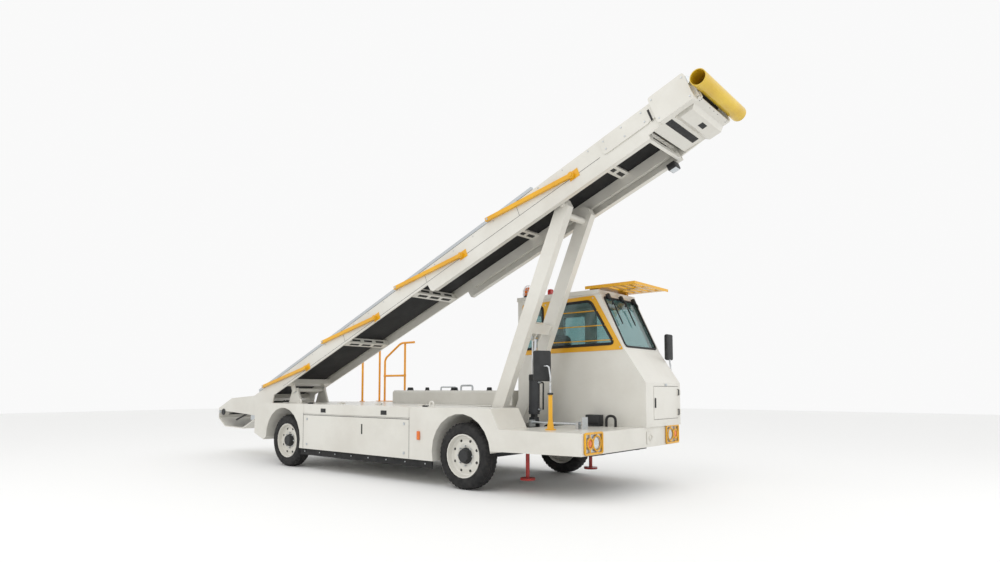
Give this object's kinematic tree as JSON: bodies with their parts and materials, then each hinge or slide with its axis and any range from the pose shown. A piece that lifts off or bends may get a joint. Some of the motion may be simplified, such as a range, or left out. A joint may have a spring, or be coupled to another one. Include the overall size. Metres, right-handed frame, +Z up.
{
  "type": "self-propelled baggage belt loader",
  "caption": "Self-propelled airport belt loader: low chassis with a side cab, raised conveyor boom on lift arms, folding guard rail, stabilisers and lidded locker.",
  "frame": {"origin": "bottom centre of the whole object's box at rest, on the ground between the wheels", "axes": "+X forward, toward the raised boom head; +Y to the vehicle's left, the cab side; +Z up"},
  "size_m": [9.082, 2.425, 4.1456],
  "materials": {
    "white_paint": "warm off-white gloss paint",
    "yellow_paint": "yellow gloss paint",
    "orange_paint": "orange-yellow paint",
    "belt_rubber": "black ribbed belt",
    "skirt_rubber": "black rubber sheet",
    "tyre_rubber": "black tyre rubber",
    "charcoal_paint": "charcoal satin paint",
    "chrome_plate": "chrome plated rod",
    "silver_metal": "bare silver metal",
    "glass": "lightly tinted glass",
    "red_paint": "red paint",
    "dark_trim": "dark moulded plastic",
    "seat_cloth": "dark seat cloth"
  },
  "bodies": {
    "chassis": {"chassis_frame": "charcoal_paint", "right_side_body": "white_paint", "left_side_body": "white_paint", "mid_deck": "white_paint", "front_deck": "white_paint", "engine_cover": "white_paint", "engine_block": "charcoal_paint", "handrail": "orange_paint", "front_axle": "charcoal_paint", "rear_axle": "charcoal_paint", "right_rubber_skirt": "skirt_rubber", "left_rubber_skirt": "skirt_rubber", "cab_shell": "white_paint", "cab_roof": "white_paint", "windscreen": "glass", "right_window_frame": "yellow_paint", "right_window_glass": "glass", "rear_window_glass": "glass", "left_quarter_glass": "glass", "sun_visor": "yellow_paint", "driver_seat": "seat_cloth", "steering_wheel": "dark_trim", "right_mirror": "dark_trim", "left_mirror": "dark_trim"},
    "locker_lid": {"right_locker_lid": "white_paint"},
    "cab_door": {"cab_door": "white_paint", "cab_door_glass": "glass"},
    "nose_door": {"nose_door": "white_paint"},
    "right_knuckle": {"right_knuckle": "charcoal_paint"},
    "left_knuckle": {"left_knuckle": "charcoal_paint"},
    "front_right_wheel": {"front_right_tyre": "tyre_rubber", "front_right_rim": "white_paint"},
    "front_left_wheel": {"front_left_tyre": "tyre_rubber", "front_left_rim": "white_paint"},
    "rear_right_wheel": {"rear_right_tyre": "tyre_rubber", "rear_right_rim": "white_paint"},
    "rear_left_wheel": {"rear_left_tyre": "tyre_rubber", "rear_left_rim": "white_paint"},
    "right_stabiliser": {"right_stabiliser": "red_paint"},
    "left_stabiliser": {"left_stabiliser": "red_paint"},
    "boom": {"boom_frame": "white_paint", "conveyor_belt": "belt_rubber", "boom_head": "white_paint", "bumper_tube": "yellow_paint", "tail_hood": "white_paint"},
    "lift_arms": {"lift_arms": "white_paint"},
    "lift_cylinder": {"lift_cylinder": "charcoal_paint"},
    "lift_rod": {"lift_rod": "chrome_plate"},
    "rail_arm_1": {"rail_arm_1": "yellow_paint"},
    "rail_arm_2": {"rail_arm_2": "yellow_paint"},
    "rail_arm_3": {"rail_arm_3": "yellow_paint"},
    "rail_arm_4": {"rail_arm_4": "yellow_paint"},
    "guard_rail": {"guard_rail": "silver_metal"}
  },
  "joints": [
    {"name": "boom_lift", "type": "hinge", "parent": "chassis", "child": "boom", "pos_m": [-2.35896, -0.4125, 1.12], "axis": [0, 1, 0], "range_deg": [0, 15.18]},
    {"name": "lift_arm_swing", "type": "hinge", "parent": "chassis", "child": "lift_arms", "pos_m": [1.75404, -0.4125, 0.7], "axis": [0, 1, 0], "range_deg": [0, 41.6]},
    {"name": "cylinder_swing", "type": "hinge", "parent": "chassis", "child": "lift_cylinder", "pos_m": [2.17604, -0.4125, 0.77], "axis": [0, 1, 0], "range_deg": [0, 53.9]},
    {"name": "rod_stroke", "type": "slide", "parent": "lift_cylinder", "child": "lift_rod", "axis": [0.0153, 0, 0.9999], "range_m": [-0.2435, 0]},
    {"name": "steering", "type": "hinge", "parent": "chassis", "child": "right_knuckle", "pos_m": [1.72104, -0.9875, 0.38], "axis": [0, 0, 1], "range_deg": [-30, 30]},
    {"name": "left_steering", "type": "hinge", "parent": "chassis", "child": "left_knuckle", "pos_m": [1.72104, 0.8125, 0.38], "axis": [0, 0, 1], "range_deg": [-30, 30]},
    {"name": "front_right_spin", "type": "hinge", "parent": "right_knuckle", "child": "front_right_wheel", "pos_m": [1.72104, -1.0725, 0.38], "axis": [0, 1, 0], "continuous": true},
    {"name": "front_left_spin", "type": "hinge", "parent": "left_knuckle", "child": "front_left_wheel", "pos_m": [1.72104, 0.8975, 0.38], "axis": [0, 1, 0], "continuous": true},
    {"name": "rear_right_spin", "type": "hinge", "parent": "chassis", "child": "rear_right_wheel", "pos_m": [-1.80896, -1.0725, 0.38], "axis": [0, 1, 0], "continuous": true},
    {"name": "rear_left_spin", "type": "hinge", "parent": "chassis", "child": "rear_left_wheel", "pos_m": [-1.80896, 0.8975, 0.38], "axis": [0, 1, 0], "continuous": true},
    {"name": "locker_lid_hinge", "type": "hinge", "parent": "chassis", "child": "locker_lid", "pos_m": [-0.22396, -0.7425, 0.9373], "axis": [1, 0, 0], "range_deg": [-75, 0]},
    {"name": "cab_door_hinge", "type": "hinge", "parent": "chassis", "child": "cab_door", "pos_m": [2.10604, 1.0498, 1.6], "axis": [0, 0, -1], "range_deg": [0, 80]},
    {"name": "nose_door_hinge", "type": "hinge", "parent": "chassis", "child": "nose_door", "pos_m": [3.36334, 0.9925, 0.98], "axis": [0, 0, 1], "range_deg": [0, 100]},
    {"name": "right_stabiliser_drop", "type": "slide", "parent": "chassis", "child": "right_stabiliser", "axis": [0, 0, -1], "range_m": [-0.05, 0.12]},
    {"name": "left_stabiliser_drop", "type": "slide", "parent": "chassis", "child": "left_stabiliser", "axis": [0, 0, -1], "range_m": [-0.05, 0.12]},
    {"name": "rail_raise", "type": "hinge", "parent": "boom", "child": "rail_arm_1", "pos_m": [-1.85244, -0.4125, 1.46689], "axis": [0, 1, 0], "range_deg": [0, 80]},
    {"name": "rail_arm_2_swing", "type": "hinge", "parent": "boom", "child": "rail_arm_2", "pos_m": [-0.23656, -0.4125, 2.12566], "axis": [0, 1, 0], "range_deg": [0, 80]},
    {"name": "rail_arm_3_swing", "type": "hinge", "parent": "boom", "child": "rail_arm_3", "pos_m": [1.37931, -0.4125, 2.78443], "axis": [0, 1, 0], "range_deg": [0, 80]},
    {"name": "rail_arm_4_swing", "type": "hinge", "parent": "boom", "child": "rail_arm_4", "pos_m": [2.99519, -0.4125, 3.4432], "axis": [0, 1, 0], "range_deg": [0, 80]},
    {"name": "guard_rail_level", "type": "hinge", "parent": "rail_arm_1", "child": "guard_rail", "pos_m": [-3.03348, -0.4125, 1.18518], "axis": [0, 1, 0], "range_deg": [-80, 0]}
  ],
  "couplings": [
    {"joint": "lift_arm_swing", "follows": "boom_lift", "ratio": 2.7337},
    {"joint": "cylinder_swing", "follows": "boom_lift", "ratio": 3.5404},
    {"joint": "rod_stroke", "follows": "boom_lift", "m_per_rad": -0.9169},
    {"joint": "left_steering", "follows": "steering", "ratio": 1},
    {"joint": "rail_arm_2_swing", "follows": "rail_raise", "ratio": 1},
    {"joint": "rail_arm_3_swing", "follows": "rail_raise", "ratio": 1},
    {"joint": "rail_arm_4_swing", "follows": "rail_raise", "ratio": 1},
    {"joint": "guard_rail_level", "follows": "rail_raise", "ratio": -1}
  ]
}
